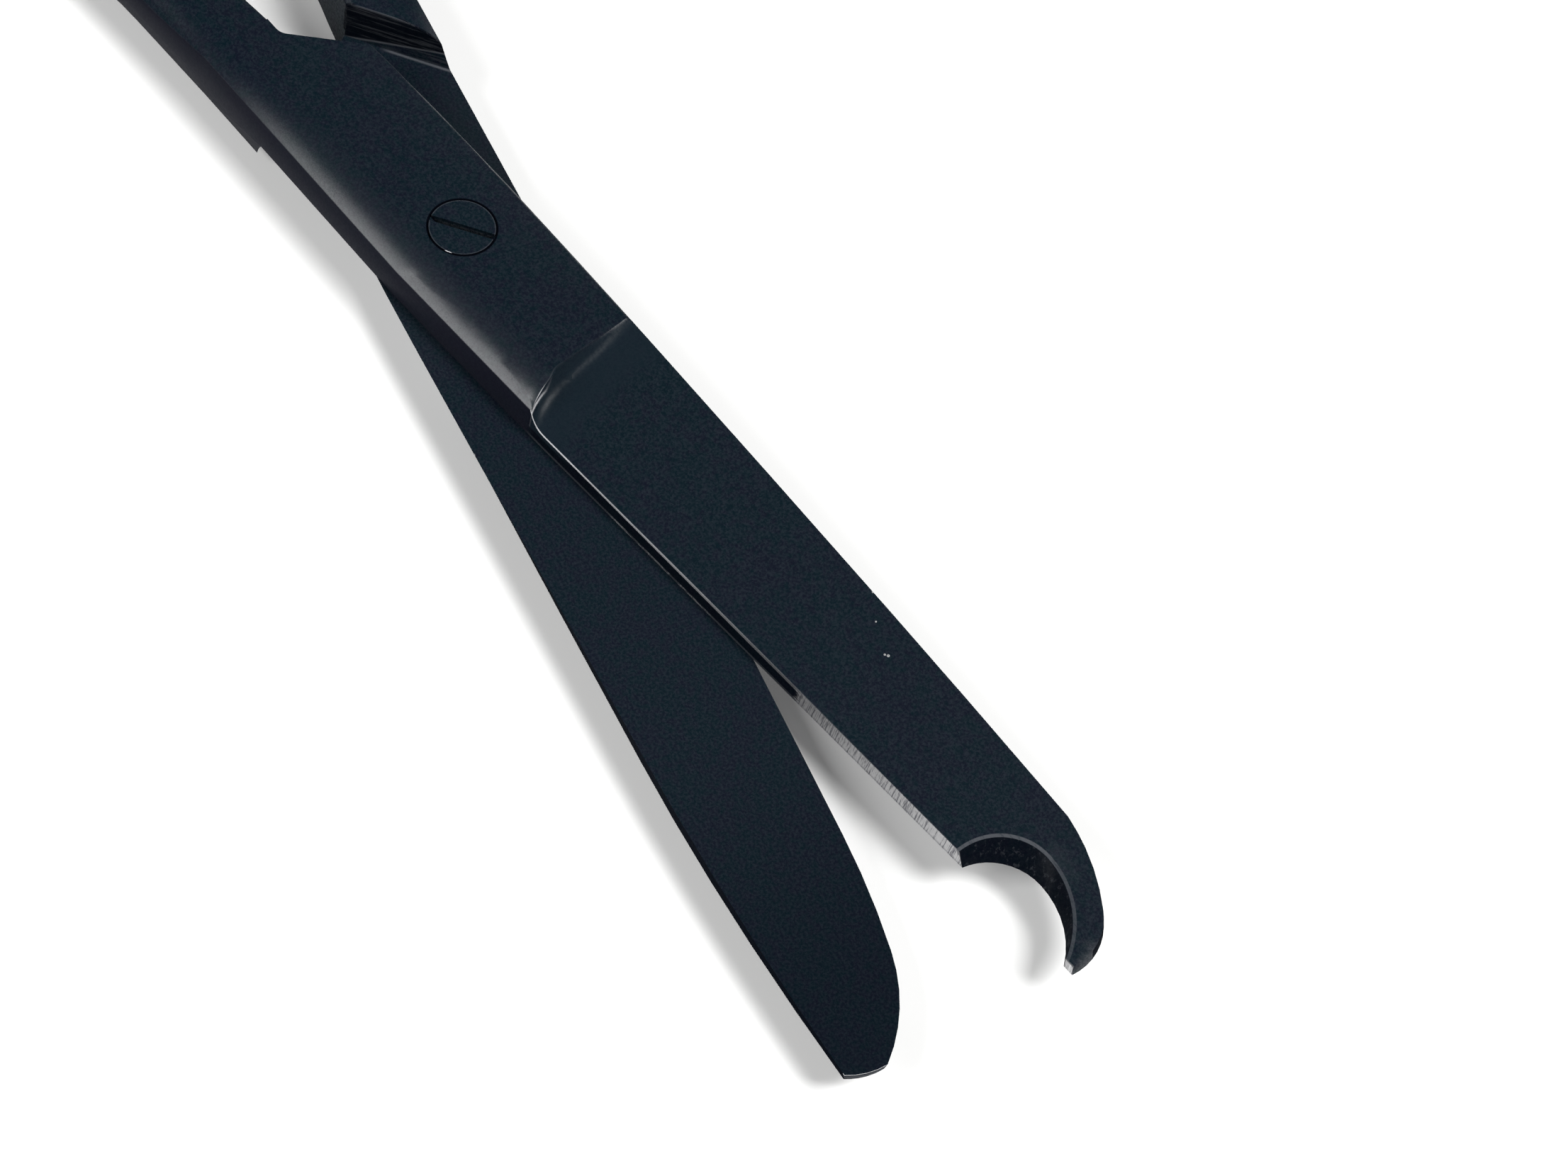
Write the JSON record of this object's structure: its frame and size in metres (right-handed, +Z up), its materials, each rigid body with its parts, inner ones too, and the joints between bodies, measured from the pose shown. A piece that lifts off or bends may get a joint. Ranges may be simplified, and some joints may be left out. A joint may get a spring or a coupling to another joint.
{
  "type": "suture scissors",
  "caption": "Surgical suture scissors with one hooked and one blunt blade, lapped on a countersunk screw, with finger rings.",
  "frame": {"origin": "pivot axis, at the underside of the lap joint that the scissors lie on", "axes": "+X from the pivot to the blade tips, +Y to the spine side of the hooked upper blade, +Z up through the screw from the plain half to the slotted head"},
  "size_m": [0.1374, 0.0698, 0.0044],
  "materials": {
    "black_steel": "black hard coating on satin steel",
    "screw_steel": "black hard coating, turned"
  },
  "bodies": {
    "plain": {"plain_half": "black_steel", "pivot_screw": "screw_steel"},
    "hooked": {"hooked_half": "black_steel"}
  },
  "joints": [
    {"name": "scissor_pivot", "type": "hinge", "parent": "plain", "child": "hooked", "pos_m": [0, 0, 0], "axis": [0, 0, 1], "range_deg": [-13.3, 46.7]}
  ]
}
